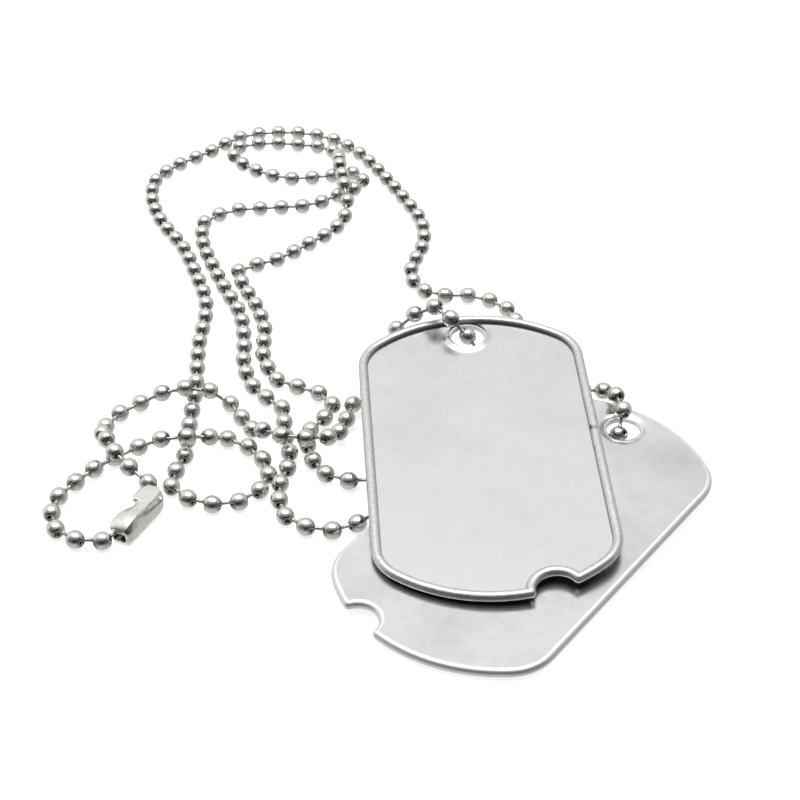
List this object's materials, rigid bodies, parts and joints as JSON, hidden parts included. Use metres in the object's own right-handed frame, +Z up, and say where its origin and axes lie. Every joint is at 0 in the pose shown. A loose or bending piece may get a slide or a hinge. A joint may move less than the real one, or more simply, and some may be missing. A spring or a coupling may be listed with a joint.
{
  "type": "pair of identification dog tags on a ball chain",
  "caption": "Pair of blank steel identification tags with rolled rims, threaded on a closed ball chain with a folded coupling, lying on a flat surface",
  "frame": {"origin": "on the surface that everything lies on, under the middle of the layout's bounding box", "axes": "+Z up, +Y away from the viewer along the layout's length, +X to the viewer's right"},
  "size_m": [0.0793, 0.1281, 0.0106],
  "materials": {
    "tag_steel": "satin stainless sheet with faint smudges",
    "chain_steel": "bright nickel-plated balls",
    "link_steel": "drawn wire",
    "coupling_steel": "bright folded sheet, slightly scuffed"
  },
  "bodies": {
    "root": {"upper_tag": "tag_steel", "lower_tag": "tag_steel", "chain_beads": "chain_steel", "chain_wire": "link_steel", "connector": "coupling_steel"}
  },
  "joints": []
}
